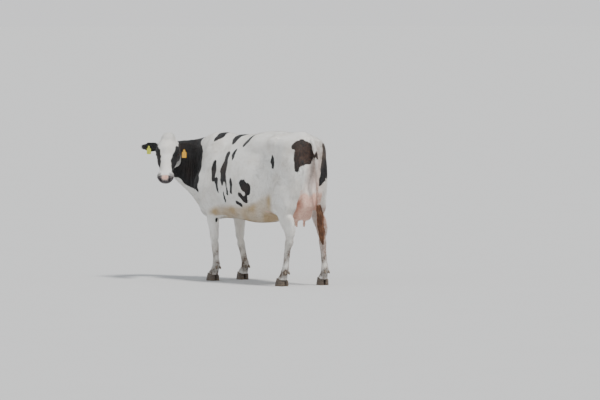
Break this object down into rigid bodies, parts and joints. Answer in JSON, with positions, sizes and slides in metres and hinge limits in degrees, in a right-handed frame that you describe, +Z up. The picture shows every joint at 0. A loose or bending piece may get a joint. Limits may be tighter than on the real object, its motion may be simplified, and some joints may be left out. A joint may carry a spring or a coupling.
{
  "type": "dairy cow",
  "caption": "Life-size standing dairy cow, white with black patches, looking back over its left shoulder, with a plain tag in each ear.",
  "frame": {"origin": "middle of the underside of the whole cow's box, on the floor", "axes": "+Z up; the trunk points along -Y with its left side towards +X, and the head is turned back to the left"},
  "size_m": [0.978, 2.225, 1.5035],
  "materials": {
    "white_hair": "short white cattle hair",
    "black_hair": "short black cattle hair with a slight shine",
    "stained_hair": "long tail hair stained rust brown",
    "bare_skin": "bare pink skin with fine hair",
    "claw_horn": "worn hoof horn, satin",
    "eye": "wet and glossy",
    "tag_plastic": "plain yellow moulded plastic"
  },
  "bodies": {
    "root": {"ear_left": "black_hair", "ear_right": "black_hair", "ear_tag_left": "tag_plastic", "ear_tag_right": "tag_plastic", "eye_left": "eye", "eye_right": "eye", "foreleg_left_cannon": "white_hair", "foreleg_left_claw_inner": "claw_horn", "foreleg_left_claw_outer": "claw_horn", "foreleg_left_dewclaw_inner": "claw_horn", "foreleg_left_dewclaw_outer": "claw_horn", "foreleg_left_forearm": "white_hair", "foreleg_left_shoulder": "white_hair", "foreleg_right_cannon": "white_hair", "foreleg_right_claw_inner": "claw_horn", "foreleg_right_claw_outer": "claw_horn", "foreleg_right_dewclaw_inner": "claw_horn", "foreleg_right_dewclaw_outer": "claw_horn", "foreleg_right_forearm": "white_hair", "foreleg_right_shoulder": "white_hair", "head": "white_hair", "hindleg_left_cannon": "white_hair", "hindleg_left_claw_inner": "claw_horn", "hindleg_left_claw_outer": "claw_horn", "hindleg_left_dewclaw_inner": "claw_horn", "hindleg_left_dewclaw_outer": "claw_horn", "hindleg_left_gaskin": "white_hair", "hindleg_left_thigh": "white_hair", "hindleg_right_cannon": "white_hair", "hindleg_right_claw_inner": "claw_horn", "hindleg_right_claw_outer": "claw_horn", "hindleg_right_dewclaw_inner": "claw_horn", "hindleg_right_dewclaw_outer": "claw_horn", "hindleg_right_gaskin": "white_hair", "hindleg_right_thigh": "white_hair", "neck": "black_hair", "tail_dock": "white_hair", "tail_switch": "stained_hair", "teat_fore_left": "bare_skin", "teat_fore_right": "bare_skin", "teat_hind_left": "bare_skin", "teat_hind_right": "bare_skin", "trunk": "white_hair", "udder": "bare_skin"}
  },
  "joints": []
}
